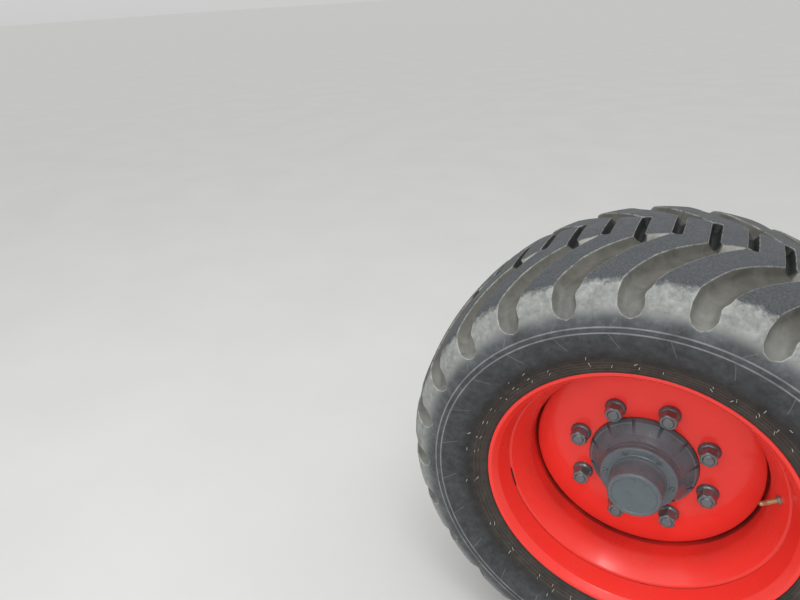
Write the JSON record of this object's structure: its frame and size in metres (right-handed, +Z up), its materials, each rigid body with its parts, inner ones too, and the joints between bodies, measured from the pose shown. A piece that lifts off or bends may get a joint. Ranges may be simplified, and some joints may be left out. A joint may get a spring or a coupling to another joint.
{
  "type": "large square baler wheel on braked stub axle",
  "caption": "Wide flotation tyre with curved grooves on a red drop-centre rim, bolted to a capped grey hub with drum brake, on a square stub axle beam.",
  "frame": {"origin": "centre of the stub beam's inner end face, on the wheel's turning axis", "axes": "-Y outboard along the axle, -X towards the machine's front, +Z up"},
  "size_m": [1.016, 0.733, 1.014],
  "materials": {
    "tyre": "worn matt rubber",
    "rim_red": "gloss red paint",
    "valve_brass": "dull brass",
    "hub_grey": "satin grey paint on castings",
    "drum_iron": "rough, light rust",
    "axle_grey": "satin dark grey paint",
    "shield_steel": "satin dark grey paint",
    "chamber_black": "satin black paint",
    "bare_steel": "zinc plated",
    "lever_iron": "painted casting"
  },
  "bodies": {
    "axle": {"axle_beam": "axle_grey", "anchor_plate": "axle_grey", "cam_bracket": "axle_grey", "chamber_bracket": "axle_grey", "dust_shield_front": "shield_steel", "dust_shield_rear": "shield_steel", "brake_chamber": "chamber_black"},
    "wheel": {"tyre": "tyre", "rim": "rim_red", "wheel_disc": "rim_red", "valve": "valve_brass", "hub": "hub_grey", "bearing_cover": "hub_grey", "hub_cap": "hub_grey", "wheel_studs": "hub_grey", "wheel_nuts": "hub_grey", "brake_drum": "drum_iron"},
    "cam": {"camshaft": "bare_steel", "slack_adjuster": "lever_iron", "clevis_pin": "bare_steel"},
    "rod": {"push_rod": "bare_steel", "fork": "bare_steel"}
  },
  "joints": [
    {"name": "wheel_spin", "type": "hinge", "parent": "axle", "child": "wheel", "pos_m": [0, -0.484, 0], "axis": [0, 1, 0], "continuous": true},
    {"name": "cam_turn", "type": "hinge", "parent": "axle", "child": "cam", "pos_m": [0.132, -0.15, 0], "axis": [0, 1, 0], "range_deg": [0, 16]},
    {"name": "rod_slide", "type": "slide", "parent": "axle", "child": "rod", "axis": [1, 0, 0], "range_m": [0, 0.0418]}
  ],
  "couplings": [
    {"joint": "rod_slide", "follows": "cam_turn", "m_per_rad": 0.14951}
  ]
}
